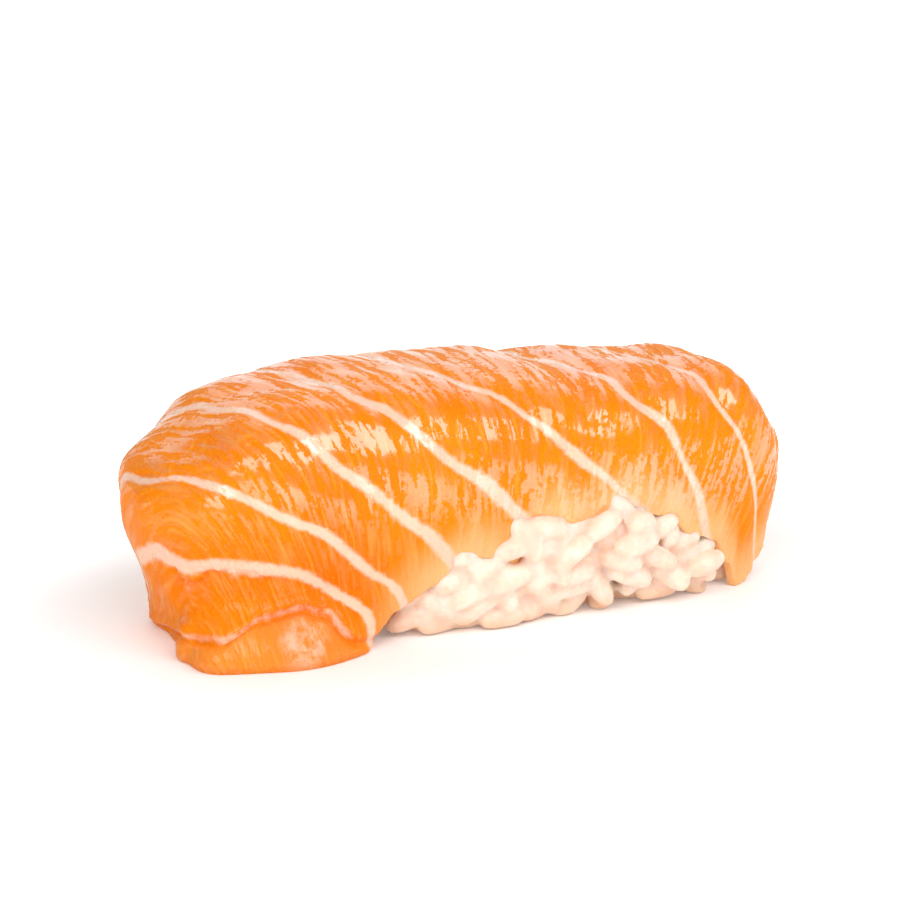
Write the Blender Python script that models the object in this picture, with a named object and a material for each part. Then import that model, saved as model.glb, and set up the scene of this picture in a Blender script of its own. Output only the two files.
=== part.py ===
"""Salmon nigiri: one slice of raw salmon draped over a pressed block of rice.

The long side runs along X, the front faces -Y and +Z is up. The slice is an open-bottomed
skin that hugs the rice: one end turns out into a foot on the board, the front edge is cut
high so that the rice shows, and one front corner hangs down to a point.
"""

from math import cos, hypot, pi, sin

import bmesh
import bpy

MM = 0.001

# The loaf both solids follow, in millimetres.
HALF_LENGTH = 41.6
HALF_WIDTH = 17.4
HEIGHT = 28.8
MIDDLE_EXPONENT = 3.0
MIDDLE_WAIST = 15.0

# Edge rules of the loaf: {station: value}. Stations count the corners and sides of the
# outline anticlockwise: 0 right end, 1 corner, 2 back, 3 corner, 4 left end, 5 foot
# corner, 6 front, 7 pointed corner.
SQUARENESS = {0: 3.1, 1: 2.8, 2: 2.6, 3: 2.5, 4: 2.5, 5: 3.2, 6: 3.2, 7: 3.7}
WAIST = {0: 12.5, 2: 12.5, 3: 17.5, 4: 17.5, 5: 15.4, 6: 15.4}
TUCK = {0: 2.4, 1: 2.0, 2: 2.0, 4: 3.0, 5: 2.8, 6: 1.8, 7: 1.3}
RISE = (
    (-41.0, -1.4), (-37.0, -1.3), (-30.0, 1.1), (-18.0, 0.9), (4.0, -0.2), (11.0, -1.3),
    (26.0, -1.2), (32.5, 0.0), (39.0, -3.8),
)

# The slice: how high its edge hangs, how far it flares out and how thick it is.
HEM = {
    0: 8.0, 1: 4.0, 2: 8.5, 3: 3.0, 3.6: 0.9, 5.48: 0.9, 5.6: 4.6, 5.75: 7.6, 6.0: 10.6,
    6.4: 12.9, 6.75: 6.6, 6.93: 0.9, 7.0: 0.7, 7.1: 3.4, 7.4: 9.0,
}
FLARE = {0: 0.0, 3.4: 0.0, 4: -1.4, 4.2: -0.9, 4.6: 3.6, 5: 7.0, 5.3: 6.0, 5.6: 1.2, 5.8: 0.0}
FLARE_HEIGHT = 7.0
SLAB = 4.6
EDGE = {0: 3.0, 2: 3.0, 3.6: 3.8, 4: 4.2, 5.4: 4.2, 5.7: 1.5, 6: 1.2, 6.6: 1.2, 7: 1.8, 7.4: 2.4}
EDGE_TAPER = 8.0
EDGE_ROUNDING = 0.28
SLICE_CELLS = (36, 12, 10)
SLICE_CROWDING = 1.3

# The rice: clear of the slice, lumpy with grains, drawn in towards the board.
GAP = 0.45
RICE_CELLS = (42, 7, 16)
RICE_LOW_SHARE = 0.75
GRAIN_LENGTH = 6.2
GRAIN_ROW = 3.2
GRAIN_DEPTH = 1.1
BULGE = 1.1
RECESS = 2.6
RECESS_HEIGHT = 7.0


def smooth(t):
    """Ease from 0 to 1, held flat outside that range."""
    t = min(max(t, 0.0), 1.0)
    return t * t * (3.0 - 2.0 * t)


def at_station(rule, station):
    """The value of an edge rule at a station, eased between its keys round the outline."""
    keys = sorted(rule.items())
    last, first = keys[-1], keys[0]
    keys = [(last[0] - 8.0, last[1]), *keys, (first[0] + 8.0, first[1])]
    for (low, start), (high, end) in zip(keys, keys[1:]):
        if station <= high:
            return start + (end - start) * smooth((station - low) / (high - low))
    return last[1]


def rise_at(x):
    """How far the back of the loaf is lifted at x, eased between its keys."""
    for (low, start), (high, end) in zip(RISE, RISE[1:]):
        if x <= high:
            return start + (end - start) * smooth((x - low) / (high - low))
    return RISE[-1][1]


def station_of(u, v):
    """The station of a point of the square outline, whose corners are at (+-1, +-1)."""
    reach = max(abs(u), abs(v), 1e-9)
    u, v = u / reach, v / reach
    if u >= abs(v):
        return v % 8.0
    if v >= abs(u):
        return 2.0 - u
    if -u >= abs(v):
        return 4.0 - v
    return 6.0 + u


def slab_at(station, height):
    """Thickness of the slice: full on top, tapering to its edge thickness at the hem."""
    edge = at_station(EDGE, station)
    above = height - at_station(HEM, station)
    return edge + (SLAB - edge) * smooth(above / EDGE_TAPER)


def loaf_point(u, v, low, level, inset):
    """Place a point of the box (u, v in -1..1, level in 0..1) on the rounded loaf.

    low is the height at which level 0 lies, and inset how deep under the skin the point is.
    Returns x, y and z in millimetres.
    """
    station = station_of(u, v)
    outward = smooth(max(abs(u), abs(v)))
    power = MIDDLE_EXPONENT + (at_station(SQUARENESS, station) - MIDDLE_EXPONENT) * outward
    waist = MIDDLE_WAIST + (at_station(WAIST, station) - MIDDLE_WAIST) * outward
    height = HEIGHT - inset
    z = low + level * (height - low)
    lift = max(z - waist, 0.0) / (height - waist)
    norm = (abs(u) ** power + abs(v) ** power + lift**power) ** (1.0 / power)
    if z > waist:
        z = waist + (height - waist) * lift / norm
    x = (HALF_LENGTH - inset) * u / norm
    y = (HALF_WIDTH - inset) * v / norm
    tuck = at_station(TUCK, station) * smooth(1.2 * (waist - z) / waist)
    reach = hypot(x, y) + 1e-9
    x -= tuck * x / reach
    y -= tuck * y / reach
    z += rise_at(x) * smooth((z - 8.0) / 20.0)
    return x, y, z


def pushed(x, y, distance):
    """Move a point of the plan outwards from the middle by a distance."""
    reach = hypot(x, y) + 1e-9
    return x * (1.0 + distance / reach), y * (1.0 + distance / reach)


def slice_point(u, v, level, depth):
    """A point of the slice's skin: depth 0 is its outside and depth 1 its inside."""
    station = station_of(u, v)
    hem = at_station(HEM, station)
    raised = hem + level * (HEIGHT - hem)
    inset = depth * slab_at(station, raised)
    low = hem + depth * (0.4 - 0.5 * smooth((2.0 - hem) / 1.5))
    x, y, z = loaf_point(u, v, low, level, inset)
    flare = at_station(FLARE, station) * (1.0 - 0.55 * depth)
    x, y = pushed(x, y, flare * smooth(1.0 - max(z - hem, 0.0) / FLARE_HEIGHT))
    return x * MM, y * MM, z * MM


def grain_relief(x, y, z):
    """Depth of the dimples between pressed grains, laid in wavy staggered rows."""
    row = (z + 0.8 * sin(0.24 * x + 0.4 * y)) / GRAIN_ROW
    lane = round(row)
    around = x + 0.9 * y + 0.5 * GRAIN_LENGTH * lane + 1.3 * sin(2.1 * lane)
    between_rows = 0.5 - 0.5 * cos(2.0 * pi * (row - lane))
    between_ends = 0.5 - 0.5 * cos(2.0 * pi * around / GRAIN_LENGTH)
    wander = 0.3 * sin(0.31 * x + 0.9 * z) * cos(0.23 * y - 0.5 * z)
    return GRAIN_DEPTH * max(0.5 * between_rows + 0.6 * between_ends + wander, 0.0)


def rice_point(u, v, level):
    """A point of the rice block: under the slice it keeps clear, below the hem it swells."""
    station = station_of(u, v)
    raised = level * HEIGHT
    inset = slab_at(station, raised) + GAP
    x, y, z = loaf_point(u, v, 0.0, level, inset)
    side = smooth(max(abs(u), abs(v)) * 4.0 - 3.0)
    shown = smooth((at_station(HEM, station) - 1.2 - z) / 2.5) * side
    inward = -grain_relief(x, y, z) * (0.3 + 0.7 * shown) * side
    swell = BULGE * shown * smooth(z / 3.0)
    recess = RECESS * smooth((RECESS_HEIGHT - z) / RECESS_HEIGHT) * side
    x, y = pushed(x, y, inward + swell - recess)
    return x * MM, y * MM, z * MM


def unit_box(cells):
    """A box from -1 to 1, cut into cells along each axis, with its bottom taken off."""
    mesh = bmesh.new()
    bmesh.ops.create_cube(mesh, size=2.0)
    for axis, count in enumerate(cells):
        normal = [0.0, 0.0, 0.0]
        normal[axis] = 1.0
        for step in range(1, count):
            cut = [0.0, 0.0, 0.0]
            cut[axis] = -1.0 + 2.0 * step / count
            whole = mesh.verts[:] + mesh.edges[:] + mesh.faces[:]
            bmesh.ops.bisect_plane(mesh, geom=whole, plane_co=cut, plane_no=normal)
    bottom = [face for face in mesh.faces if face.calc_center_median().z < -1.0 + 1e-6]
    bmesh.ops.delete(mesh, geom=bottom, context="FACES")
    return mesh


def close_rim(mesh, inner_of):
    """Bridge the outer and inner hems with a rounded edge two faces wide."""
    rim = [edge for edge in mesh.edges if edge.is_boundary and edge.verts[0] in inner_of]
    middle_of = {}
    for vert in {vert for edge in rim for vert in edge.verts}:
        inner = inner_of[vert]
        width = (vert.co - inner.co).length
        middle = vert.co.lerp(inner.co, 0.42)
        middle.z = max(middle.z - EDGE_ROUNDING * width, 0.0)
        middle_of[vert] = mesh.verts.new(middle)
    for edge in rim:
        loop = edge.link_loops[0]
        start, end = loop.vert, loop.link_loop_next.vert
        mesh.faces.new((end, start, middle_of[start], middle_of[end]))
        mesh.faces.new((middle_of[end], middle_of[start], inner_of[start], inner_of[end]))


def make_slice_mesh():
    """The slice: an outer skin, an inner skin the slab's thickness below it, and the rim."""
    mesh = unit_box(SLICE_CELLS)
    outer = mesh.verts[:]
    copied = bmesh.ops.duplicate(mesh, geom=mesh.verts[:] + mesh.edges[:] + mesh.faces[:])
    inner_of = {vert: copied["vert_map"][vert] for vert in outer}
    inner_faces = [item for item in copied["geom"] if isinstance(item, bmesh.types.BMFace)]
    bmesh.ops.reverse_faces(mesh, faces=inner_faces)
    for vert in outer:
        u, v = vert.co.x, vert.co.y
        level = (0.5 + 0.5 * vert.co.z) ** SLICE_CROWDING
        vert.co = slice_point(u, v, level, 0.0)
        inner_of[vert].co = slice_point(u, v, level, 1.0)
    close_rim(mesh, inner_of)
    return mesh


def make_rice_mesh():
    """The rice: the same loaf within the slice, closed by a flat underside."""
    mesh = unit_box(RICE_CELLS)
    for vert in mesh.verts:
        share = 0.5 + 0.5 * vert.co.z
        low = min(share / RICE_LOW_SHARE, 1.0)
        high = max(share - RICE_LOW_SHARE, 0.0) / (1.0 - RICE_LOW_SHARE)
        vert.co = rice_point(vert.co.x, vert.co.y, 0.5 * low + 0.5 * high)
    rim = [edge for edge in mesh.edges if edge.is_boundary]
    bmesh.ops.contextual_create(mesh, geom=rim)
    return mesh


def add_material(name, colour, roughness):
    """A plain Principled material."""
    material = bpy.data.materials.new(name)
    material.use_nodes = True
    shader = material.node_tree.nodes["Principled BSDF"]
    shader.inputs["Base Color"].default_value = (*colour, 1.0)
    shader.inputs["Roughness"].default_value = roughness
    shader.inputs["Metallic"].default_value = 0.0
    return material


def add_solid(name, mesh, material, collection):
    """Turn a mesh into a smooth-shaded object with every face facing out."""
    bmesh.ops.recalc_face_normals(mesh, faces=mesh.faces[:])
    bmesh.ops.triangulate(mesh, faces=mesh.faces[:])
    for face in mesh.faces:
        face.smooth = True
    data = bpy.data.meshes.new(name)
    mesh.to_mesh(data)
    mesh.free()
    data.materials.append(material)
    solid = bpy.data.objects.new(name, data)
    collection.objects.link(solid)
    return solid


def centre_on_board(solids):
    """Shift the solids together so that their box is centred and its base is at zero."""
    points = [vert.co for solid in solids for vert in solid.data.vertices]
    middle_x = 0.5 * (min(p.x for p in points) + max(p.x for p in points))
    middle_y = 0.5 * (min(p.y for p in points) + max(p.y for p in points))
    base = min(p.z for p in points)
    for point in points:
        point.x -= middle_x
        point.y -= middle_y
        point.z -= base


def main():
    """Clear the scene, then build the slice and the rice."""
    for stale in list(bpy.data.objects):
        bpy.data.objects.remove(stale, do_unlink=True)
    nigiri = bpy.data.collections.new("salmon_nigiri")
    bpy.context.scene.collection.children.link(nigiri)
    flesh = add_material("salmon_flesh", (0.90, 0.34, 0.07), 0.35)
    grains = add_material("cooked_rice", (0.93, 0.87, 0.78), 0.5)
    centre_on_board(
        [
            add_solid("salmon_slice", make_slice_mesh(), flesh, nigiri),
            add_solid("rice_block", make_rice_mesh(), grains, nigiri),
        ]
    )


main()
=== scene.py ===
"""Salmon nigiri: a marbled slice of raw salmon draped over a block of sticky rice.

Lengths are in millimetres until a mesh is placed, and the scene is in metres. The long side
runs along X, the open front faces -Y and +Z is up.
"""

import logging
import math
from collections.abc import Callable
from dataclasses import dataclass, field
from enum import Enum

import bpy
import numpy as np
from mathutils import Matrix, Vector


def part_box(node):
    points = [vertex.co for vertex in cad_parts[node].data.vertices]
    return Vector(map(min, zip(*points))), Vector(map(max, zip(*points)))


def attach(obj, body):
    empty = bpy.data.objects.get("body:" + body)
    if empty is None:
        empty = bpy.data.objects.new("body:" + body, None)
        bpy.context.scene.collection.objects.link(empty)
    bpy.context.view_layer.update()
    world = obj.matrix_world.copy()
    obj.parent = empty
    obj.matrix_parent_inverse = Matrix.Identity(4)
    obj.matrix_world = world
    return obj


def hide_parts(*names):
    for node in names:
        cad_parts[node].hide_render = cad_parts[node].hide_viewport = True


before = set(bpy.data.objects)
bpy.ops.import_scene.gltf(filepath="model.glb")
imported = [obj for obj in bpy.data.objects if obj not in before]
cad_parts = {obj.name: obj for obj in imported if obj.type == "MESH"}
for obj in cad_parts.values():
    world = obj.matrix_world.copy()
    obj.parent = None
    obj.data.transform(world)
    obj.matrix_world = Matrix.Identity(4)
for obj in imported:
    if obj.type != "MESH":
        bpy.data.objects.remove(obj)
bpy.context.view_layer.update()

MM = 0.001
LOG = logging.getLogger("nigiri")

Points = np.ndarray
Keys = dict[float, float]
Pair = tuple[float, float]
Triple = tuple[float, float, float]
Row = tuple[float, ...]
Places = list[tuple[Vector, Matrix]]
Piece = bpy.types.Object
Socket = bpy.types.NodeSocket


class Skin(Enum):
    """The two skins of the slice."""

    OUTER = 0.0
    INNER = 1.0


def smooth(t: Points) -> Points:
    """Ease from 0 to 1, held flat outside that range."""
    t = np.clip(t, 0.0, 1.0)
    return t * t * (3.0 - 2.0 * t)


def eased(keys: list[Pair], at: Points) -> Points:
    """Read a rule between its keys with an eased step from each key to the next.

    Args:
        keys: Pairs of place and value, in order of place.
        at: The places to read.

    Returns:
        The value at each place, held flat beyond the first and last keys.
    """
    places = np.array([key[0] for key in keys])
    values = np.array([key[1] for key in keys])
    low = np.clip(np.searchsorted(places, at, side="right") - 1, 0, len(keys) - 2)
    share = smooth((at - places[low]) / (places[low + 1] - places[low]))
    return values[low] + (values[low + 1] - values[low]) * share


def around(keys: Keys, station: Points) -> Points:
    """Read a rule that runs round the outline and closes on itself at station 8.

    Args:
        keys: The value at each keyed station.
        station: Stations from 0 up to 8.

    Returns:
        The value at each station.
    """
    order = sorted(keys.items())
    last, first = order[-1], order[0]
    closed = [(last[0] - 8.0, last[1]), *order, (first[0] + 8.0, first[1])]
    return eased(closed, station)


def station_of(box: Points) -> Points:
    """Find where on the outline a point of the unit box lies.

    Args:
        box: Places in the unit box, along and across in its first columns.

    Returns:
        Stations: 0 right end, 2 back, 4 left end, 6 front, with the corners between.
    """
    reach = np.maximum(np.abs(box[:, :2]).max(axis=1), 1e-9)
    u, v = box[:, 0] / reach, box[:, 1] / reach
    station = np.where(-u >= np.abs(v), 4.0 - v, 6.0 + u)
    station = np.where(v >= np.abs(u), 2.0 - u, station)
    return np.where(u >= np.abs(v), v % 8.0, station)


def ripple(points: Points, waves: int, scale: float, seed: int) -> Points:
    """A smooth seeded bumpiness made of a few plane waves.

    Args:
        points: Points to read, one per row.
        waves: How many waves are added.
        scale: Typical wavelength, in the unit of the points.
        seed: Seed of the wave directions and phases.

    Returns:
        Values of about -1 to 1, one per point.
    """
    rng = np.random.default_rng(seed)
    total = np.zeros(len(points))
    for _ in range(waves):
        way = rng.normal(size=points.shape[1])
        way *= rng.uniform(0.7, 1.5) * 2.0 * math.pi / (scale * np.linalg.norm(way))
        total += np.sin(points @ way + rng.uniform(0.0, 2.0 * math.pi))
    return total / math.sqrt(waves)


@dataclass(frozen=True)
class Loaf:
    """The rounded form that both the slice and the rice follow."""

    half_length: float = 41.6
    half_width: float = 17.4
    height: float = 28.8
    middle_exponent: float = 3.0
    middle_waist: float = 15.0
    squareness: Keys = field(
        default_factory=lambda: {0: 3.1, 1: 2.8, 2: 2.6, 3: 2.5, 4: 2.5, 5: 3.2, 6: 3.2, 7: 3.7}
    )
    waist: Keys = field(
        default_factory=lambda: {0: 12.5, 2: 12.5, 3: 17.5, 4: 17.5, 5: 15.4, 6: 15.4}
    )
    tuck: Keys = field(
        default_factory=lambda: {0: 2.4, 1: 2.0, 2: 2.0, 4: 3.0, 5: 2.8, 6: 1.8, 7: 1.3}
    )
    rise: tuple[Pair, ...] = (
        (-41, -1.4), (-37, -1.3), (-30, 1.1), (-18, 0.9), (4, -0.2), (11, -1.3), (26, -1.2),
        (32.5, 0.0), (39, -3.8),
    )
    hem: Keys = field(
        default_factory=lambda: {
            0: 8.0, 1: 4.0, 2: 8.5, 3: 3.0, 3.6: 0.9, 5.48: 0.9, 5.6: 4.8, 5.72: 7.1,
            5.84: 9.6, 5.9: 9.3, 5.98: 7.6, 6.06: 12.0, 6.12: 13.0, 6.21: 11.4, 6.35: 13.1,
            6.48: 11.2, 6.66: 7.5, 6.74: 6.6, 6.84: 3.4, 6.9: 0.3, 6.95: 0.6, 7.04: 1.5,
            7.1: 2.4, 7.2: 3.5, 7.28: 5.0, 7.4: 7.0,
        }
    )
    edge: Keys = field(
        default_factory=lambda: {
            0: 3.0, 2: 3.0, 3.6: 3.8, 4: 4.2, 5.4: 4.2, 5.7: 1.5, 6: 1.2, 6.6: 1.2, 6.88: 0.9,
            7: 1.2, 7.4: 2.4,
        }
    )
    flare: Keys = field(
        default_factory=lambda: {
            0: 0.0, 3.4: 0.0, 4: -1.4, 4.2: -0.9, 4.6: 3.6, 5: 7.0, 5.3: 6.0, 5.6: 1.2, 5.8: 0.0
        }
    )
    flare_height: float = 7.0
    slab: float = 4.6
    edge_taper: float = 8.0

    def thickness(self, station: Points, height: Points) -> Points:
        """How thick the slice is at a height: full on top, thin at the hem.

        Args:
            station: Where on the outline.
            height: Height over the board.

        Returns:
            The thickness, in millimetres.
        """
        edge = around(self.edge, station)
        above = height - around(self.hem, station)
        return edge + (self.slab - edge) * smooth(above / self.edge_taper)

    def place(self, box: Points, low: Points, level: Points, inset: Points) -> Points:
        """Place points of the unit box on the loaf.

        Args:
            box: Places in the unit box, -1 to 1.
            low: Height at which level 0 lies.
            level: 0 at the bottom to 1 on top.
            inset: Depth under the loaf's surface.

        Returns:
            The points, in millimetres.
        """
        u, v = box[:, 0], box[:, 1]
        station = station_of(box)
        outward = smooth(np.maximum(np.abs(u), np.abs(v)))
        power = around(self.squareness, station)
        power = self.middle_exponent + (power - self.middle_exponent) * outward
        waist = around(self.waist, station)
        waist = self.middle_waist + (waist - self.middle_waist) * outward
        height = self.height - inset
        z = low + level * (height - low)
        lift = np.maximum(z - waist, 0.0) / (height - waist)
        norm = (np.abs(u) ** power + np.abs(v) ** power + lift**power) ** (1.0 / power)
        z = np.where(z > waist, waist + (height - waist) * lift / norm, z)
        x = (self.half_length - inset) * u / norm
        y = (self.half_width - inset) * v / norm
        tuck = around(self.tuck, station) * smooth(1.2 * (waist - z) / waist)
        points = pushed(np.stack([x, y, z], axis=1), -tuck)
        lifted = eased(list(self.rise), points[:, 0]) * smooth((points[:, 2] - 8.0) / 20.0)
        points[:, 2] += lifted
        return points

    def unrolled(self, points: Points) -> Points:
        """Lay points of the skin flat, as the slice was before it was draped.

        Args:
            points: Points on the loaf, in millimetres.

        Returns:
            Place along and across the flat slice, two columns.
        """
        halves = np.array([self.half_length, self.half_width])
        unit = points[:, :2] / halves
        way = np.sign(unit) * unit**2 / halves
        size = np.hypot(way[:, 0], way[:, 1]) + 1e-12
        drop = np.maximum(self.height - points[:, 2], 0.0)
        return points[:, :2] + way / size[:, None] * drop[:, None]


def pushed(points: Points, distance: Points) -> Points:
    """Move points outwards in plan, away from the middle of the piece.

    Args:
        points: The points.
        distance: How far each one moves.

    Returns:
        The moved points.
    """
    moved = points.copy()
    reach = np.hypot(points[:, 0], points[:, 1]) + 1e-9
    moved[:, :2] *= (1.0 + distance / reach)[:, None]
    return moved


class Board:
    """Lays out and wires the nodes of one material, or of the world."""

    def __init__(self, owner: bpy.types.ID, shader: str = "Principled BSDF") -> None:
        """Start with the shader and the output that a new material or world brings.

        Args:
            owner: The material or world.
            shader: The name of its shader.
        """
        owner.use_nodes = True
        self.owner = owner
        self.tree = owner.node_tree
        self.shader = self.tree.nodes[shader]

    def wire(self, socket: Socket, value: object) -> None:
        """Feed a socket from another socket, or set its value.

        Args:
            socket: The socket.
            value: Its value, or the socket that feeds it.
        """
        if isinstance(value, Socket):
            self.tree.links.new(value, socket)
        else:
            socket.default_value = value

    def node(self, kind: str, inputs: dict | None = None, **settings: object) -> bpy.types.Node:
        """Add a node.

        Args:
            kind: The node's type, without its ShaderNode prefix.
            inputs: Socket name or number to a value or to the socket that feeds it.
            **settings: Properties of the node.

        Returns:
            The node.
        """
        made = self.tree.nodes.new("ShaderNode" + kind)
        for name, value in settings.items():
            setattr(made, name, value)
        for name, value in (inputs or {}).items():
            self.wire(made.inputs[name], value)
        return made

    def maths(self, operation: str, *terms: object) -> Socket:
        """Add a Math node and give its result."""
        return self.node("Math", dict(enumerate(terms)), operation=operation).outputs[0]

    def place(self) -> Socket:
        """Object coordinates in millimetres."""
        inputs = {0: self.node("TexCoord").outputs["Object"], "Scale": 1.0 / MM}
        return self.node("VectorMath", inputs, operation="SCALE").outputs[0]

    def attribute(self, name: str, output: str = "Fac") -> Socket:
        """A named attribute of the piece."""
        return self.node("Attribute", attribute_name=name).outputs[output]

    def noise(
        self, at: Socket, size: float, detail: float = 2.0, roughness: float = 0.5
    ) -> Socket:
        """Add a noise pattern.

        Args:
            at: The coordinates it reads, in millimetres.
            size: Size of its blobs in millimetres.
            detail: How many finer layers it has.
            roughness: How strong the finer layers are.

        Returns:
            Its value, about 0.2 to 0.8.
        """
        inputs = {"Vector": at, "Scale": 1.0 / size, "Detail": detail, "Roughness": roughness}
        return self.node("TexNoise", inputs).outputs["Fac"]

    def between(
        self, value: Socket, start: float, end: float, low: float = 0.0, high: float = 1.0
    ) -> Socket:
        """Ease a value from low at start to high at end.

        Args:
            value: The value to map.
            start: Where the result is low.
            end: Where the result is high.
            low: The result before start.
            high: The result after end.

        Returns:
            The mapped value.
        """
        inputs = {0: value, 1: start, 2: end, 3: low, 4: high}
        return self.node("MapRange", inputs, interpolation_type="SMOOTHSTEP").outputs[0]

    def mixed(self, share: object, first: object, second: object) -> Socket:
        """Mix two colours.

        Args:
            share: How much of the second colour is used.
            first: Colour, or the socket that gives it.
            second: Colour, or the socket that gives it.

        Returns:
            The mixed colour.
        """
        colours = [(*one, 1.0) if isinstance(one, tuple) else one for one in (first, second)]
        inputs = {0: share, 6: colours[0], 7: colours[1]}
        return self.node("Mix", inputs, data_type="RGBA").outputs[2]

    def bump(self, height: Socket, depth: float, normal: Socket | None = None) -> Socket:
        """Add a bump.

        Args:
            height: The height pattern, 0 to 1.
            depth: How deep a step from 0 to 1 is, in millimetres.
            normal: The normal of the bump under this one.

        Returns:
            The bumped normal.
        """
        inputs = {"Height": height, "Strength": 1.0, "Distance": depth * MM}
        if normal is not None:
            inputs["Normal"] = normal
        return self.node("Bump", inputs).outputs["Normal"]

    def feed(self, **inputs: object) -> None:
        """Set or wire sockets of the shader, named with _ for each space."""
        for name, value in inputs.items():
            self.wire(self.shader.inputs[name.replace("_", " ")], value)


def linear(red: int, green: int, blue: int) -> Triple:
    """Turn screen values of 0 to 255 into linear colour."""
    parts = [part / 255.0 for part in (red, green, blue)]
    return tuple(p / 12.92 if p <= 0.04045 else ((p + 0.055) / 1.055) ** 2.4 for p in parts)


@dataclass(frozen=True)
class SalmonFlesh:
    """Moist raw salmon: orange muscle, pale fat lines, faint fibres."""

    deep: Triple = linear(251, 118, 6)
    ripe: Triple = linear(250, 137, 12)
    light: Triple = linear(251, 172, 72)
    # Painted light: the paler colour of light shining through the thin hem and the foot's lower
    # lobe.
    lit_through: Triple = linear(252, 196, 136)
    fat: Triple = linear(253, 203, 175)
    tone_size: float = 9.0
    fibre_pitch: float = 1.2
    ridge_share: float = 0.36
    fibre_share: float = 0.3
    lit_through_share: float = 0.8
    film_size: float = 2.2
    pebble_size: float = 0.62
    fibre_bump: float = 0.26
    pebble_bump: float = 0.16

    def material(self) -> bpy.types.Material:
        """Wire the flesh material.

        Returns:
            The material.
        """
        board = Board(bpy.data.materials.new("salmon_flesh"))
        place = board.place()
        tone = board.between(board.noise(place, self.tone_size), 0.3, 0.56)
        # Deepen the tone round one spot low on the front left, and as painted shade in the gape
        # under the torn fat line.
        undeepened = board.maths("SUBTRACT", 1.0, board.attribute("deep_patch_and_gape_shade"))
        tone = board.maths("MULTIPLY", board.maths("MULTIPLY_ADD", tone, 0.45, 0.55), undeepened)
        colour = board.mixed(tone, self.deep, self.ripe)
        fibre_way = board.attribute("fibre_way", "Vector")
        fibres = board.noise(fibre_way, self.fibre_pitch, 2.0, 0.55)
        shade = board.between(board.attribute("ridge"), 0.4, 1.0, 0.0, self.ridge_share)
        colour = board.mixed(shade, colour, self.light)
        shade = board.between(fibres, 0.52, 0.72, 0.0, self.fibre_share)
        colour = board.mixed(shade, colour, self.light)
        # Painted light: thin flesh is paled towards the colour of light shining through it.
        thin = board.maths("MULTIPLY", board.attribute("thin"), self.lit_through_share)
        colour = board.mixed(thin, colour, self.lit_through)
        board.feed(Base_Color=board.mixed(self._fat(board, place), colour, self.fat))
        self._gloss(board, place, fibres)
        return board.owner

    def _fat(self, board: Board, place: Socket) -> Socket:
        """How much fat shows: soft ragged bands along the fat lines.

        Args:
            board: The material being wired.
            place: Object coordinates in millimetres.

        Returns:
            0 on muscle to 1 on fat.
        """
        ragged = board.noise(place, 1.0, 2.0, 0.6)
        swell = board.noise(place, 6.0, 1.0)
        away = board.attribute("fat_line")
        away = board.maths("MULTIPLY_ADD", board.maths("SUBTRACT", ragged, 0.5), 1.1, away)
        away = board.maths("MULTIPLY_ADD", board.maths("SUBTRACT", swell, 0.5), 1.2, away)
        band = board.between(away, 1.5, 0.5)
        torn = board.between(board.noise(place, 1.8, 3.0, 0.7), 0.38, 0.62, 0.0, 0.8)
        tissue = board.maths("MULTIPLY", board.attribute("tissue"), torn)
        return board.maths("MAXIMUM", band, tissue)

    def _gloss(self, board: Board, place: Socket, fibres: Socket) -> None:
        """Give the flesh its wet film, its fibre relief and its depth of light.

        Args:
            board: The material being wired.
            place: Object coordinates in millimetres.
            fibres: The fibre pattern, 0 to 1.
        """
        film = board.noise(place, self.film_size, 3.0, 0.6)
        pebble = board.noise(place, self.pebble_size, 2.0, 0.6)
        wet = board.maths("MULTIPLY_ADD", pebble, 0.45, fibres)
        wet = board.between(wet, 0.69, 0.76, 0.02, 1.0)
        board.feed(
            Roughness=board.between(film, 0.35, 0.7, 0.35, 0.5),
            Coat_Weight=board.maths("MULTIPLY", wet, board.attribute("shine")),
            Coat_Roughness=0.15,
            Coat_IOR=2.1,
            Specular_IOR_Level=0.04,
            Subsurface_Weight=0.25,
            Subsurface_Radius=(1.0, 0.3, 0.1),
            Subsurface_Scale=0.0025,
        )
        normal = board.bump(fibres, self.fibre_bump)
        board.feed(Normal=board.bump(pebble, self.pebble_bump, normal))


@dataclass(frozen=True)
class CookedRice:
    """Cooked short-grain rice: warm white, faintly see-through, tacky."""

    body: Triple = linear(252, 213, 192)
    heart: Triple = linear(254, 232, 215)
    # Painted shade: the warm dark colour laid in the gaps between grains, on the core and low on
    # the grains.
    gap: Triple = linear(238, 178, 130)
    cloud_size: float = 2.4
    film_size: float = 1.6
    grit_size: float = 0.5
    grit_bump: float = 0.05

    def material(self) -> bpy.types.Material:
        """Wire the rice material.

        Returns:
            The material.
        """
        board = Board(bpy.data.materials.new("cooked_rice"))
        place = board.place()
        cloud = board.between(board.noise(place, self.cloud_size, 3.0, 0.6), 0.35, 0.65)
        colour = board.mixed(cloud, self.body, self.heart)
        # Painted shade: the rice takes the warm gap colour where it lies deep between grains.
        board.feed(Base_Color=board.mixed(board.attribute("painted_gap_shade"), colour, self.gap))
        film = board.noise(place, self.film_size)
        board.feed(
            Roughness=board.between(film, 0.35, 0.65, 0.34, 0.52),
            Coat_Weight=board.between(film, 0.4, 0.6, 0.1, 0.3),
            Coat_Roughness=0.25,
            Specular_IOR_Level=0.35,
            Subsurface_Weight=0.6,
            Subsurface_Radius=(1.0, 0.5, 0.3),
            Subsurface_Scale=0.003,
        )
        grit = board.noise(place, self.grit_size, 2.0, 0.6)
        board.feed(Normal=board.bump(grit, self.grit_bump))
        return board.owner


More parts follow.
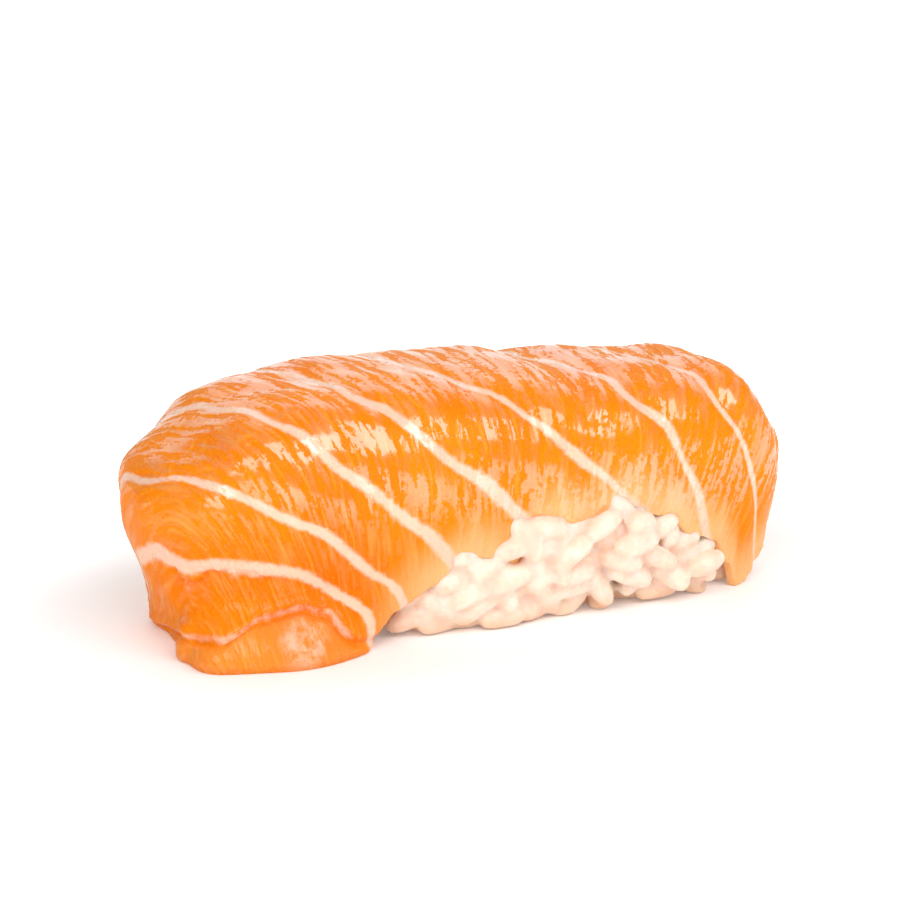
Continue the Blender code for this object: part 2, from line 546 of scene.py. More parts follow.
@dataclass(frozen=True)
class PaleSheet:
    """The pale floor, whose painted glow grows the further it is from the piece."""

    tint: Triple = (0.96, 0.96, 0.96)
    speck_tint: Triple = (0.9, 0.9, 0.91)
    glow: Row = (1.0, 0.985, 0.975, 1.0)
    stretch: Triple = (1.0, 1.7, 1.0)
    near: float = 35.0
    far: float = 100.0
    lit_near: float = 0.12
    lit_far: float = 0.6

    def material(self) -> bpy.types.Material:
        """Wire the floor material.

        Returns:
            The material.
        """
        board = Board(bpy.data.materials.new("pale_floor"))
        place = board.place()
        speck = board.between(board.noise(place, 3.0), 0.3, 0.7, 0.0, 0.02)
        board.feed(Base_Color=board.mixed(speck, self.tint, self.speck_tint), Roughness=0.6)
        inputs = {0: place, 1: self.stretch}
        spread = board.node("VectorMath", inputs, operation="MULTIPLY").outputs[0]
        reach = board.node("VectorMath", {0: spread}, operation="LENGTH").outputs["Value"]
        # Painted light: the floor's own glow, kept low near the piece where its shadows fall.
        lit = board.between(reach, self.near, self.far, self.lit_near, self.lit_far)
        board.feed(Emission_Color=self.glow, Emission_Strength=lit)
        return board.owner


def clear_selection() -> None:
    """Go to object mode with nothing selected."""
    if bpy.context.mode != "OBJECT":
        bpy.ops.object.mode_set(mode="OBJECT")
    bpy.ops.object.select_all(action="DESELECT")


def made_active(piece: Piece) -> None:
    """Select one object alone and make it active.

    Args:
        piece: The object.
    """
    clear_selection()
    piece.select_set(True)
    bpy.context.view_layer.objects.active = piece


def edited(piece: Piece, operator: Callable, rim: bool = False, **settings: object) -> None:
    """Run one edit mode operator on a mesh.

    Args:
        piece: The object.
        operator: The operator.
        rim: Whether it acts on the open edges alone.
        **settings: What the operator is given.
    """
    made_active(piece)
    bpy.ops.object.mode_set(mode="EDIT")
    bpy.ops.mesh.select_all(action="SELECT")
    if rim:
        bpy.ops.mesh.select_mode(type="EDGE")
        bpy.ops.mesh.select_all(action="DESELECT")
        bpy.ops.mesh.select_non_manifold()
    operator(**settings)
    bpy.ops.object.mode_set(mode="OBJECT")


def modified(piece: Piece, kind: str, **settings: object) -> None:
    """Give a piece one modifier and apply it.

    Args:
        piece: The object.
        kind: The modifier's type.
        **settings: Properties of the modifier.
    """
    made_active(piece)
    made = piece.modifiers.new(kind.lower(), kind)
    for name, value in settings.items():
        setattr(made, name, value)
    bpy.ops.object.modifier_apply(modifier=made.name)


def in_scene(name: str, data: bpy.types.ID) -> Piece:
    """Put a new object in the scene and give it its data.

    Args:
        name: The object's name.
        data: Its mesh, lamp or camera.

    Returns:
        The object.
    """
    made = bpy.data.objects.new(name, data)
    bpy.context.scene.collection.objects.link(made)
    return made


def points_of(piece: Piece, normals: bool = False) -> Points:
    """Read the mesh's points or their normals.

    Args:
        piece: The object.
        normals: Whether the normals are read.

    Returns:
        One row of three per point.
    """
    items = piece.data.vertex_normals if normals else piece.data.vertices
    flat = np.empty(len(items) * 3, np.float32)
    items.foreach_get("vector" if normals else "co", flat)
    return flat.reshape(-1, 3).astype(float)


def set_points(piece: Piece, points: Points) -> None:
    """Move the mesh's points."""
    piece.data.vertices.foreach_set("co", points.astype(np.float32).ravel())
    piece.data.update()


def set_values(piece: Piece, name: str, values: Points) -> None:
    """Store one number or one vector per point under a name.

    Args:
        piece: The object.
        name: The attribute's name.
        values: One number, or one row of three, per point.
    """
    kind, member = ("FLOAT", "value") if values.ndim == 1 else ("FLOAT_VECTOR", "vector")
    made = piece.data.attributes.new(name, kind, "POINT")
    made.data.foreach_set(member, values.astype(np.float32).ravel())


def open_box(name: str, cells: tuple[int, int, int]) -> Piece:
    """Add a box from -1 to 1, cut into cells, with its bottom taken off.

    Args:
        name: The object's name.
        cells: How many cells it has along X, Y and Z.

    Returns:
        The object, in object mode.
    """
    clear_selection()
    bpy.ops.mesh.primitive_cube_add(size=2.0)
    piece = bpy.context.object
    piece.name = name
    bpy.ops.object.mode_set(mode="EDIT")
    for axis, count in enumerate(cells):
        normal = np.eye(3)[axis]
        for step in range(1, count):
            bpy.ops.mesh.select_all(action="SELECT")
            cut = (-1.0 + 2.0 * step / count) * normal
            bpy.ops.mesh.bisect(plane_co=cut.tolist(), plane_no=normal.tolist())
    bpy.ops.mesh.select_all(action="DESELECT")
    bpy.ops.object.mode_set(mode="OBJECT")
    for face in piece.data.polygons:
        face.select = face.center.z < -0.999
    bpy.ops.object.mode_set(mode="EDIT")
    bpy.ops.mesh.select_mode(type="FACE")
    bpy.ops.mesh.delete(type="FACE")
    bpy.ops.object.mode_set(mode="OBJECT")
    return piece


def finished(piece: Piece, material: bpy.types.Material) -> None:
    """Dress a piece, shade it smooth and let it ride on the body.

    Args:
        piece: The finished mesh object.
        material: Its material.
    """
    made_active(piece)
    piece.data.materials.clear()
    piece.data.materials.append(material)
    bpy.ops.object.shade_smooth()
    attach(piece, "root")
    LOG.info("%s: %d faces", piece.name, len(piece.data.polygons))


@dataclass
class SalmonSlice:
    """The draped slice: its skins, its rim, its fat lines and its relief."""

    loaf: Loaf
    cells: tuple[int, int, int] = (36, 12, 11)
    cuts: int = 7
    crowding: float = 1.3
    rim_share: float = 1.0 / 11.0
    rim_rounding: float = 0.3
    across_keys: Row = (-40, -36, -32, -28, -24, -20, -16, -12, -8, -4, 0, 4, 8, 36)
    fat_lines: tuple[Row, ...] = (
        (-21.5, -27, -35.6, -43.3, -49, -52.8, -54.8, -56.3, -57.2, -58.1, -58.8, -59.2, -60, -68),
        (-16, -20.3, -25.4, -30.6, -35.4, -39.2, -42.5, -45, -47.3, -49.2, -50.4, -51.5, -53, -62),
        (-4.5, -9, -14.2, -18.8, -22.2, -24.9, -27.6, -29.5, -30.8, -32.2, -33.8, -35.7, -37, -49),
        (9.3, 4.4, -0.5, -5.2, -9.1, -12.3, -14.9, -17, -18.3, -19.1, -19.9, -20.8, -22.2, -35),
        (27, 21, 15, 9.2, 5.7, 3.1, 0.1, -2.2, -4.2, -6, -7.6, -8.8, -10, -23),
        (33.5, 29.5, 26.1, 22.9, 21, 18.6, 16.6, 15.5, 15, 14.2, 13.2, 11.8, 10.3, -2),
        (50, 46, 41.8, 37, 32.9, 29.8, 28.4, 28.3, 28.2, 27.6, 26.4, 25, 23.5, 11),
        (64, 60, 56, 52.5, 49.5, 47, 45, 43.5, 42, 41, 40, 39, 38, 26),
        (76, 72, 68, 64, 61, 59, 57, 55.5, 54, 53, 52, 51, 50, 38),
        (88, 84, 80, 76, 73, 71, 69, 67.5, 66, 65, 64, 63, 62, 50),
    )
    half_widths: Row = (0.6, 0.56, 0.68, 0.66, 0.62, 0.6, 0.5, 0.6, 0.6, 0.6)
    dome: float = 0.36
    dome_width: float = 2.4
    fibre_height: float = 0.09
    fibre_pitches: Row = (1.15, 1.5, 2.3)
    fibre_phases: Row = (0.0, 1.0, 2.2)
    lean_places: Row = (-48.0, -20.0, 5.0, 35.0)
    leans: Row = (0.55, 0.12, -0.12, -0.3)
    thin_height: float = 6.5
    gape_depth: float = 0.8
    shred_height: float = 0.45
    deep_patch_centre: Triple = (-23.0, -16.0, 10.5)
    deep_patch_reach: float = 8.0
    scar_centre: Triple = (-28.2, -17.2, 2.6)
    scar_reach: float = 2.4
    crease: Keys = field(
        default_factory=lambda: {
            3.8: 0.4, 4.1: 1.0, 4.5: 2.6, 4.94: 3.2, 5.08: 5.2, 5.25: 5.9, 5.35: 5.2, 5.5: 1.4
        }
    )
    shift: Vector = field(default_factory=Vector)

    def build(self, flesh: bpy.types.Material) -> None:
        """Make the slice from its two skins and dress it.

        Args:
            flesh: The flesh material.
        """
        outer = open_box("draped_slice", self.cells)
        inner = open_box("draped_slice_inside", self.cells)
        edited(outer, bpy.ops.mesh.subdivide, number_cuts=self.cuts)
        self._shape_outside(outer)
        self._shape_inside(inner)
        self._join_skins(outer, inner)
        finished(outer, flesh)
        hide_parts("salmon_slice")

    def skin(self, box: Points, level: Points, side: Skin) -> Points:
        """Points of one skin of the slice.

        Args:
            box: Places in the unit box, -1 to 1.
            level: 0 at the hem to 1 on top.
            side: Which skin.

        Returns:
            The points, in millimetres.
        """
        depth = side.value
        station = station_of(box)
        hem = around(self.loaf.hem, station)
        raised = hem + level * (self.loaf.height - hem)
        inset = depth * self.loaf.thickness(station, raised)
        low = hem + depth * (0.4 - 0.5 * smooth((2.0 - hem) / 1.5))
        points = self.loaf.place(box, low, level, inset)
        flare = around(self.loaf.flare, station) * (1.0 - 0.55 * depth)
        fall = np.maximum(points[:, 2] - hem, 0.0) / self.loaf.flare_height
        return pushed(points, flare * smooth(1.0 - fall))

    def _shape_outside(self, piece: Piece) -> None:
        """Place the outer skin and its rounded rim, then raise its relief.

        Args:
            piece: The box that becomes the skin.
        """
        box = points_of(piece)
        share = 0.5 + 0.5 * box[:, 2]
        level = np.clip((share - self.rim_share) / (1.0 - self.rim_share), 0.0, 1.0)
        points = self.skin(box, level**self.crowding, Skin.OUTER)
        under = self.skin(box, np.zeros(len(box)), Skin.INNER)
        turn = np.clip(1.0 - share / self.rim_share, 0.0, 1.0) * math.pi / 2.0
        width = np.linalg.norm(points - under, axis=1)
        curled = points + (under - points) * (1.0 - np.cos(turn))[:, None]
        curled[:, 2] -= self.rim_rounding * width * np.sin(2.0 * turn)
        points = np.where(share[:, None] < self.rim_share, curled, points)
        set_points(piece, points * MM)
        station = station_of(box)
        self._mark(piece, points, station)
        relief = self._relief(points, station)[:, None]
        raised = points + points_of(piece, normals=True) * relief
        raised[:, 2] = np.maximum(raised[:, 2], 0.0)
        set_points(piece, (raised + self.shift) * MM)

    def _shape_inside(self, piece: Piece) -> None:
        """Place the inner skin, which faces the rice.

        Args:
            piece: The box that becomes the skin.
        """
        box = points_of(piece)
        level = (0.5 + 0.5 * box[:, 2]) ** self.crowding
        points = self.skin(box, 0.03 + 0.97 * level, Skin.INNER)
        set_points(piece, (points + self.shift) * MM)
        edited(piece, bpy.ops.mesh.flip_normals)

    def _join_skins(self, outer: Piece, inner: Piece) -> None:
        """Join the skins and bridge the gap between their open edges.

        Args:
            outer: The outer skin, which stays.
            inner: The inner skin.
        """
        made_active(outer)
        inner.select_set(True)
        bpy.ops.object.join()
        outer.data.name = "draped_slice"
        edited(outer, bpy.ops.mesh.bridge_edge_loops, rim=True)

    def line_distance(self, flat: Points) -> Points:
        """Distance to the nearest fat line, in half-widths of that line.

        Args:
            flat: Places on the unrolled slice.

        Returns:
            0 along the middle of a line, 1 at its edge.
        """
        nearest = np.full(len(flat), 99.0)
        for line, half_width in zip(self.fat_lines, self.half_widths):
            at = self._line_at(line, flat[:, 1])
            step = self._line_at(line, flat[:, 1] + 1.0) - self._line_at(line, flat[:, 1] - 1.0)
            gap = np.abs(flat[:, 0] - at) / np.sqrt(1.0 + (step / 2.0) ** 2)
            nearest = np.minimum(nearest, gap / half_width)
        return nearest

    def _line_at(self, line: Row, across: Points) -> Points:
        """Place of a fat line along the slice, with its corners rounded."""
        reads = [np.interp(across + step, self.across_keys, line) for step in (-2.0, 0.0, 2.0)]
        return 0.25 * reads[0] + 0.5 * reads[1] + 0.25 * reads[2]

    def _mark(self, piece: Piece, points: Points, station: Points) -> None:
        """Store what the flesh material reads: fat, fibres, thinness for painted light, shine, and
        a deep patch with painted shade.

        Args:
            piece: The outer skin.
            points: Its points, in millimetres.
            station: Where on the outline each point is.
        """
        flat = self.loaf.unrolled(points)
        wander = 0.25 * ripple(points, 5, 9.0, 3)
        away = self.line_distance(flat + wander[:, None])
        foot = self._on_foot(station)
        seam = np.abs(points[:, 2] - around(self.crease, station) - 0.35) / 0.55 + 0.8
        set_values(piece, "fat_line", np.minimum(away, seam + 9.0 * (1.0 - foot)))
        across = self._across_fibres(flat)
        fibre = np.stack([across, 0.16 * flat[:, 1], 0.16 * points[:, 2]], axis=1)
        set_values(piece, "fibre_way", fibre)
        set_values(piece, "ridge", self._ridges(flat))
        above = points[:, 2] - around(self.loaf.hem, station)
        # Painted light: the thin front hem and the foot's lower lobe are marked to take the paler
        # colour of light shining through.
        front = smooth((station - 5.45) / 0.3) * smooth((7.6 - station) / 0.3)
        lobe = 0.14 * foot * smooth(around(self.crease, station) - points[:, 2])
        hem = smooth(1.0 - above / self.thin_height) * front
        set_values(piece, "thin", np.maximum(hem, lobe))
        shine = 0.2 + 0.8 * smooth((points[:, 2] - 11.0 + 0.12 * points[:, 0]) / 6.0)
        set_values(piece, "shine", shine * (1.0 + 0.2 * ripple(points, 5, 8.0, 41)))
        gape, shreds = self._tear(points, flat)
        # A deeper red-orange round one spot low on the front left, plus painted shade in the
        # recessed gape.
        gap = np.linalg.norm(points - np.array(self.deep_patch_centre), axis=1)
        deep_patch_and_gape_shade = np.exp(-((gap / self.deep_patch_reach) ** 2)) + 0.7 * gape
        set_values(piece, "deep_patch_and_gape_shade", np.minimum(deep_patch_and_gape_shade, 1.0))
        gap = np.linalg.norm(points - np.array(self.scar_centre), axis=1)
        scar = 0.8 * smooth(1.5 - gap / self.scar_reach)
        set_values(piece, "tissue", scar + shreds)

    def _tear(self, points: Points, flat: Points) -> tuple[Points, Points]:
        """The torn stretch of the foot's fat line.

        Args:
            points: Points of the skin.
            flat: Their places when unrolled.

        Returns:
            The gape under the line and the shreds of tissue over it, 0 to 1.
        """
        span = smooth((flat[:, 1] + 35.0) / 4.0) * smooth((-9.0 - flat[:, 1]) / 5.0)
        below = (self._line_at(self.fat_lines[0], flat[:, 1]) - flat[:, 0]) * 0.6
        rough = below + 0.35 * ripple(points, 5, 2.4, 5)
        gape = smooth((rough - 0.5) / 0.5) * np.exp(-np.maximum(rough, 0.0) / 3.2)
        drips = smooth(1.2 * ripple(points[:, :2], 5, 3.4, 31) - 0.2)
        return gape * span, drips * smooth(1.0 - np.abs(below - 0.9)) * span

    def _across_fibres(self, flat: Points) -> Points:
        """Place measured across the muscle fibres, whose lean changes along the slice."""
        return flat[:, 0] + np.interp(flat[:, 0], self.lean_places, self.leans) * flat[:, 1]

    def _ridges(self, flat: Points) -> Points:
        """The raised fibres: uneven ridges.

        Args:
            flat: Places on the unrolled slice.

        Returns:
            0 in the valleys to 1 on the crests.
        """
        across = self._across_fibres(flat)
        slow = ripple(flat, 5, 9.0, 11)
        total = np.zeros(len(flat))
        for pitch, phase in zip(self.fibre_pitches, self.fibre_phases):
            total += np.sin(2.0 * math.pi * across / pitch + phase + 1.6 * slow)
        fade = 0.6 + 0.4 * ripple(flat, 5, 6.0, 12)
        return np.clip(0.5 + 0.3 * total * fade, 0.0, 1.0) ** 1.5

    def _on_foot(self, station: Points) -> Points:
        """1 on the foot, 0 away from it."""
        return smooth((station - 3.5) / 0.4) * smooth((5.6 - station) / 0.15)

    def _relief(self, points: Points, station: Points) -> Points:
        """How far each point stands proud of the plain skin.

        Args:
            points: The outer skin's points, in millimetres.
            station: Where on the outline each point is.

        Returns:
            The height of the relief: domed segments, fibres, the torn fat line, the foot.
        """
        flat = self.loaf.unrolled(points)
        away = 0.7 * self.line_distance(flat)
        relief = self.dome * (1.0 - np.exp(-((away / self.dome_width) ** 2)) - 0.7)
        relief += self.fibre_height * (self._ridges(flat) - 0.4) * smooth(away / 1.5)
        gape, shreds = self._tear(points, flat)
        relief += self.shred_height * shreds - self.gape_depth * gape
        foot = self._on_foot(station)
        under = around(self.crease, station) - points[:, 2]
        groove = np.exp(-((under / 0.45) ** 2))
        edge = np.exp(-(((under + 0.9) / 0.6) ** 2))
        lobe = smooth(under / 1.0) * smooth((points[:, 2] + 1.0) / 1.5)
        knuckle = np.exp(-(((station - 5.28) / 0.14) ** 2))
        lobe *= smooth((station - 4.4) / 0.5) * (0.45 + 0.7 * knuckle)
        relief += foot * (lobe - 0.6 * groove + 0.25 * edge)
        return relief + (0.04 + 0.1 * foot) * ripple(points, 5, 7.0, 21)


@dataclass
class RiceBlock:
    """Sticky grains pressed round a smaller core."""

    loaf: Loaf
    grain_length: float = 6.0
    grain_width: float = 3.0
    grain_depth: float = 2.8
    fullness: float = 2.5
    spacing: float = 4.1
    side_rings: Row = (1.1, 3.2)
    side_tilt: float = 0.45
    rows: int = 11
    row_height: float = 1.85
    lowest_row: float = 1.5
    lip_inset: float = 0.9
    lip_spacing: float = 4.0
    lip_ends: Pair = (5.66, 6.86)
    lip_tilt: float = 0.35
    under_rings: Row = (5.9, 8.6, 11.3)
    under_tilt: float = 0.2
    closeness: float = 0.73
    settling: int = 40
    bulge: float = 2.3
    recess: float = 1.9
    undercut: float = 2.6
    core_cells: tuple[int, int, int] = (24, 8, 10)
    core_inset: float = 1.8
    core_floor: float = 1.7
    voxel: float = 0.335
    most_triangles: int = 190_000
    gap_smoothing: int = 30
    shift: Vector = field(default_factory=Vector)

    def build(self, rice: bpy.types.Material) -> None:
        """Make the core and the grains and dress them.

        Args:
            rice: The rice material.
        """
        finished(self._core(), rice)
        grains = self._grains()
        finished(grains, rice)
        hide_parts("rice_block")

    def face(self, box: Points, height: Points, inset: float) -> Points:
        """Points on the side of the block.

        Args:
            box: Places in the unit box, -1 to 1.
            height: Height over the board.
            inset: How far in from the face.

        Returns:
            The points, in millimetres.
        """
        station = station_of(box)
        level = height / self.loaf.height
        under = self.loaf.thickness(station, height) + inset
        points = self.loaf.place(box, np.zeros(len(box)), level, under)
        shown = smooth((around(self.loaf.hem, station) - 0.2 - points[:, 2]) / 2.2)
        out = self.bulge * shown * smooth(points[:, 2] / 4.0)
        back = self.recess * smooth(1.0 - points[:, 2] / 7.0)
        back += self.undercut * smooth(1.0 - points[:, 2] / 3.6)
        return pushed(points, out - back)

    def _core(self) -> Piece:
        """The smooth core inside the grains, painted all over with the gap shade.

        Returns:
            The core, closed underneath.
        """
        piece = open_box("rice_core", self.core_cells)
        box = points_of(piece)
        height = (0.5 + 0.5 * box[:, 2]) * self.loaf.height
        points = self.face(box, height, self.core_inset)
        points[:, 2] = np.maximum(points[:, 2], self.core_floor)
        set_points(piece, (points + self.shift) * MM)
        # Painted shade: the core, seen only through holes between grains, takes the full gap
        # colour.
        set_values(piece, "painted_gap_shade", np.ones(len(points)))
        edited(piece, bpy.ops.mesh.edge_face_add, rim=True)
        return piece

    def _grain(self) -> Piece:
        """One grain: a plump spindle, a little flattened and bent.

        Returns:
            The grain, in millimetres, along X.
        """
        clear_selection()
        bpy.ops.mesh.primitive_uv_sphere_add(segments=12, ring_count=8, radius=0.5)
        grain = bpy.context.object
        points = points_of(grain)[:, [2, 0, 1]]
        reach = np.clip(2.0 * np.abs(points[:, 0]), 0.0, 0.999)
        full = (1.0 - reach**self.fullness) ** (1.0 / self.fullness)
        belly = full / np.sqrt(1.0 - reach**2)
        points[:, 0] *= self.grain_length
        points[:, 1] *= self.grain_width * belly
        points[:, 2] *= self.grain_depth * belly
        points[:, 1] += 0.2 * np.cos(points[:, 0] * 0.7)
        set_points(grain, points)
        return grain

    def _places(self) -> Places:
        """Where each grain lies and how it is turned: sides, then the lip, then the sole.

        Returns:
            The places, settled.
        """
        rng = np.random.default_rng(7)
        places = []
        ring = np.linspace(0.0, 8.0, 400, endpoint=False)
        corners = (0, 1, 3, 5, 7, 8)
        sides = (1, 1, -1, -1, 1, 1), (0, 1, 1, -1, -1, 0)
        box = np.stack([np.interp(ring, corners, side) for side in sides], axis=1)
        hems = around(self.loaf.hem, ring)
        for inset in self.side_rings:
            for row in range(self.rows):
                height = self.lowest_row + row * self.row_height
                side = self.face(box, np.full(len(box), height), inset)
                side[:, 2] = height
                for index in self._stops(side, self.spacing, 0.5 * (row % 2), rng):
                    if height < hems[index] + 2.0:
                        places.append(self._laid(side, index, rng, self.side_tilt))
        lip = self.face(box, hems - 0.8, self.lip_inset)
        for index in self._stops(lip, self.lip_spacing, 0.0, rng):
            if self.lip_ends[0] < ring[index] < self.lip_ends[1]:
                places.append(self._laid(lip, index, rng, self.lip_tilt))
        for inset in self.under_rings:
            sole = self.face(box, np.full(len(box), self.lowest_row), inset)
            sole[:, 2] = self.lowest_row
            for index in self._stops(sole, self.spacing, 0.0, rng):
                places.append(self._laid(sole, index, rng, self.under_tilt))
        return self._settled(places)

    def _settled(self, places: Places) -> Places:
        """Ease crowded grains apart until they only press on each other.

        Args:
            places: Where each grain lies and how it is turned.

        Returns:
            The same grains at their settled places.
        """
        centres = np.array([list(at) for at, _ in places])
        ways = np.array([list(turn.col[0].normalized()) for _, turn in places])
        reach = 0.5 * (self.grain_length - self.grain_width)
        beads = np.array([-reach, 0.0, reach])
        room = self.closeness * self.grain_width
        start = centres.copy()
        outward = start * np.array([1.0, 1.0, 0.0])
        outward /= np.linalg.norm(outward, axis=1)[:, None]
        count = len(places)
        owner = np.arange(count).repeat(len(beads))
        same = owner[:, None] == owner[None]
        for _ in range(self.settling):
            balls = (centres[:, None] + ways[:, None] * beads[None, :, None]).reshape(-1, 3)
            gap = balls[:, None] - balls[None]
            far = np.linalg.norm(gap, axis=2) + 1e-9
            squeeze = np.where(same, 0.0, np.maximum(room - far, 0.0))
            push = np.sum(gap * (squeeze / far)[..., None], axis=1)
            centres += 0.22 * push.reshape(count, len(beads), 3).sum(axis=1)
            strayed = np.sum((centres - start) * outward, axis=1)
            centres -= (0.8 * strayed)[:, None] * outward
            centres[:, 2] = np.clip(centres[:, 2], 1.2, start[:, 2] + 0.4)
        return [(Vector(at), turn) for at, (_, turn) in zip(centres, places)]

    def _stops(
        self, path: Points, spacing: float, offset: float, rng: np.random.Generator
    ) -> list[int]:
        """Pick points of a closed path about one spacing apart.

        Args:
            path: The path's points.
            spacing: Distance from one stop to the next, in millimetres.
            offset: How far round the first stop is, in spacings.
            rng: The random numbers.

        Returns:
            The index of the path's point at each stop.
        """
        steps = np.linalg.norm(np.roll(path, -1, axis=0) - path, axis=1)
        arc = np.concatenate([[0.0], np.cumsum(steps)])
        count = int(arc[-1] / spacing)
        at = (np.arange(count) + offset + rng.uniform(-0.25, 0.25, count)) / count
        found = np.searchsorted(arc, (at % 1.0) * arc[-1]) - 1
        return [int(index) % len(path) for index in found]

    def _laid(
        self, path: Points, index: int, rng: np.random.Generator, tilt: float
    ) -> tuple[Vector, Matrix]:
        """Lay one grain along a path, tilted and rolled at random.

        Args:
            path: The path's points.
            index: The point that the grain lies on.
            rng: The random numbers.
            tilt: Typical tilt out of the level, in radians.

        Returns:
            The grain's place, and its turn and size.
        """
        here = path[index] + rng.uniform(-0.35, 0.35, 3)
        along = path[(index + 2) % len(path)] - path[index - 2]
        turn = Matrix.Rotation(math.atan2(along[1], along[0]), 3, "Z")
        turn = turn @ Matrix.Rotation(rng.normal(0.0, tilt), 3, "Y")
        turn = turn @ Matrix.Rotation(rng.normal(0.0, 0.25), 3, "Z")
        turn = turn @ Matrix.Rotation(rng.uniform(0.0, math.pi), 3, "X")
        return Vector(here), turn @ Matrix.Scale(rng.uniform(0.9, 1.08), 3)

    def _grains(self) -> Piece:
        """The grains, stuck together where they touch.

        Returns:
            The grains as one closed mesh.
        """
        piece = self._copies(self._grain(), self._places())
        modified(piece, "REMESH", mode="VOXEL", voxel_size=self.voxel * MM)
        modified(piece, "SMOOTH", iterations=3, factor=0.5)
        ratio = min(1.0, self.most_triangles / (2.0 * len(piece.data.polygons)))
        modified(piece, "DECIMATE", ratio=ratio)
        self._paint_gap_shade(piece)
        return piece

    def _copies(self, grain: Piece, places: Places) -> Piece:
        """Copy a grain to every place and remove the pattern.

        Args:
            grain: The grain.
            places: Where each copy lies and how it is turned.

        Returns:
            The loose copies, as one object that stops at the board.
        """
        shape = points_of(grain)
        faces = [list(face.vertices) for face in grain.data.polygons]
        bpy.data.objects.remove(grain)
        points = np.concatenate([shape @ np.array(turn).T + np.array(at) for at, turn in places])
        points[:, 2] = np.maximum(points[:, 2], 0.02)
        starts = range(0, len(points), len(shape))
        all_faces = [[corner + start for corner in face] for start in starts for face in faces]
        data = bpy.data.meshes.new("rice_grains")
        data.from_pydata(((points + np.array(self.shift)) * MM).tolist(), [], all_faces)
        LOG.info("%d grains", len(places))
        return in_scene("rice_grains", data)

    def _paint_gap_shade(self, piece: Piece) -> None:
        """Store the painted shade: how deep each point lies in the gaps between grains, and how
        low it sits.

        Args:
            piece: The grains.
        """
        hull = in_scene("even_hull", piece.data.copy())
        modified(hull, "SMOOTH", iterations=self.gap_smoothing, factor=1.0)
        points = points_of(piece)
        depth = np.sum((points_of(hull) - points) * points_of(piece, normals=True), axis=1) / MM
        bpy.data.objects.remove(hull)
        # Painted shade: grains low by the board take up to half of the warm gap colour.
        low = 0.5 * smooth((2.8 - points[:, 2] / MM) / 2.4)
        set_values(piece, "painted_gap_shade", np.maximum(smooth((depth - 0.25) / 0.7), low))


def turned(item: Piece, way: Vector) -> None:
    """Point a camera or a lamp along a way."""
    item.rotation_mode = "QUATERNION"
    item.rotation_quaternion = way.to_track_quat("-Z", "Y")


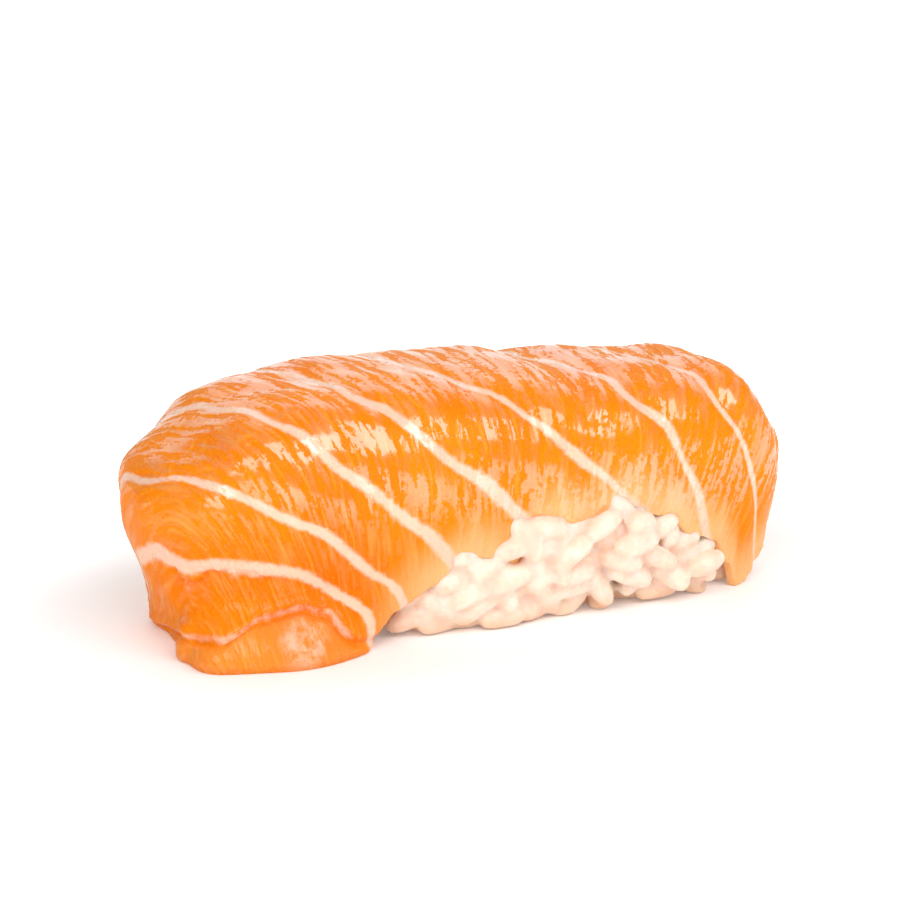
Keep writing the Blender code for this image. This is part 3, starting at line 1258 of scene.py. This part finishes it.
@dataclass(frozen=True)
class Studio:
    """Floor, lights, world and camera."""

    floor_size: float = 4.0
    floor_drop: float = 0.05
    azimuth: float = -28.0
    elevation: float = 15.3
    distance: float = 420.0
    lens: float = 141.1
    aim: Triple = (-0.2, 0.0, 17.5)
    wall_light: float = 0.2
    roof_light: float = 0.36
    roof_rise: Pair = (0.3, 0.6)
    glow_light: float = 0.95
    glow_way: Triple = (0.45, 0.85, 0.26)
    glow_rise: Pair = (0.55, 0.95)

    def build(self, shift: Vector) -> None:
        """Set the piece's stage, with the camera moved along with the piece.

        Args:
            shift: How far the piece is moved, in millimetres.
        """
        self._floor()
        self._camera(shift)
        self._world()
        self._lamp("window", (40.0, -250.0, 262.0), (420.0, 250.0), 0.9)
        self._lamp("fill", (-280.0, -205.0, 200.0), (220.0, 220.0), 0.42)
        bpy.context.scene.view_settings.view_transform = "Standard"

    def _floor(self) -> None:
        """A wide sheet, a hair below the board's level."""
        clear_selection()
        place = (0.0, 0.0, -self.floor_drop * MM)
        bpy.ops.mesh.primitive_grid_add(
            x_subdivisions=8, y_subdivisions=8, size=self.floor_size, location=place
        )
        floor = bpy.context.object
        floor.name = "floor"
        floor.data.materials.append(PaleSheet().material())

    def _camera(self, shift: Vector) -> None:
        """A long lens a little above the board, looking from the front left.

        Args:
            shift: How far the piece is moved, in millimetres.
        """
        turn, up = math.radians(self.azimuth), math.radians(self.elevation)
        back = Vector(
            (math.sin(turn) * math.cos(up), -math.cos(turn) * math.cos(up), math.sin(up))
        )
        data = bpy.data.cameras.new("camera")
        data.lens = self.lens
        data.clip_start, data.clip_end = 0.01, 10.0
        camera = in_scene("camera", data)
        camera.location = (Vector(self.aim) + shift + back * self.distance) * MM
        turned(camera, -back)
        bpy.context.scene.camera = camera

    def _world(self) -> None:
        """A dim white room with a brighter roof and a glow behind the piece."""
        board = Board(bpy.data.worlds.new("room"), "Background")
        way = board.node("TexCoord").outputs["Generated"]
        rise = board.node("SeparateXYZ", {0: way}).outputs["Z"]
        roof = board.between(rise, *self.roof_rise, self.wall_light, self.roof_light)
        inputs = {0: way, 1: self.glow_way}
        facing = board.node("VectorMath", inputs, operation="DOT_PRODUCT").outputs["Value"]
        glow = board.between(facing, *self.glow_rise, 0.0, self.glow_light)
        board.feed(Color=(1.0, 1.0, 1.0, 1.0), Strength=board.maths("ADD", roof, glow))
        bpy.context.scene.world = board.owner

    def _lamp(self, name: str, place: Triple, size: Pair, power: float) -> None:
        """A soft box aimed at the piece.

        Args:
            name: The lamp's name.
            place: Where it hangs, in millimetres.
            size: Its width and depth, in millimetres.
            power: Its power in watts.
        """
        data = bpy.data.lights.new(name, "AREA")
        data.shape = "RECTANGLE"
        data.size, data.size_y = size[0] * MM, size[1] * MM
        data.energy = power
        lamp = in_scene(name, data)
        lamp.location = Vector(place) * MM
        turned(lamp, -lamp.location)


def frame_shift(slice_maker: SalmonSlice) -> Vector:
    """How far the frame's slice is from where the loaf's rules put it, in millimetres.

    Args:
        slice_maker: The slice that follows the loaf's rules.

    Returns:
        The shift that lays it on the frame's slice.
    """
    ring = np.linspace(-1.0, 1.0, 73)
    box = np.stack(np.meshgrid(ring, ring), axis=-1).reshape(-1, 2)
    box = box[np.abs(box).max(axis=1) > 0.999]
    levels = [np.full(len(box), level) for level in np.linspace(0, 1, 40)]
    points = np.concatenate([slice_maker.skin(box, level, Skin.OUTER) for level in levels])
    low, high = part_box("salmon_slice")
    middle = (low + high) / (2.0 * MM)
    x, y = (points.min(axis=0) + points.max(axis=0))[:2] / 2.0
    return Vector((middle.x - x, middle.y - y, 0.0))


def main() -> None:
    """Build the nigiri, then the studio round it."""
    logging.basicConfig(level=logging.INFO, format="%(name)s: %(message)s")
    loaf = Loaf()
    salmon = SalmonSlice(loaf)
    shift = frame_shift(salmon)
    LOG.info("shift %.2f %.2f mm", shift.x, shift.y)
    salmon.shift = shift
    salmon.build(SalmonFlesh().material())
    RiceBlock(loaf, shift=shift).build(CookedRice().material())
    Studio().build(shift)


if __name__ == "__main__":
    main()
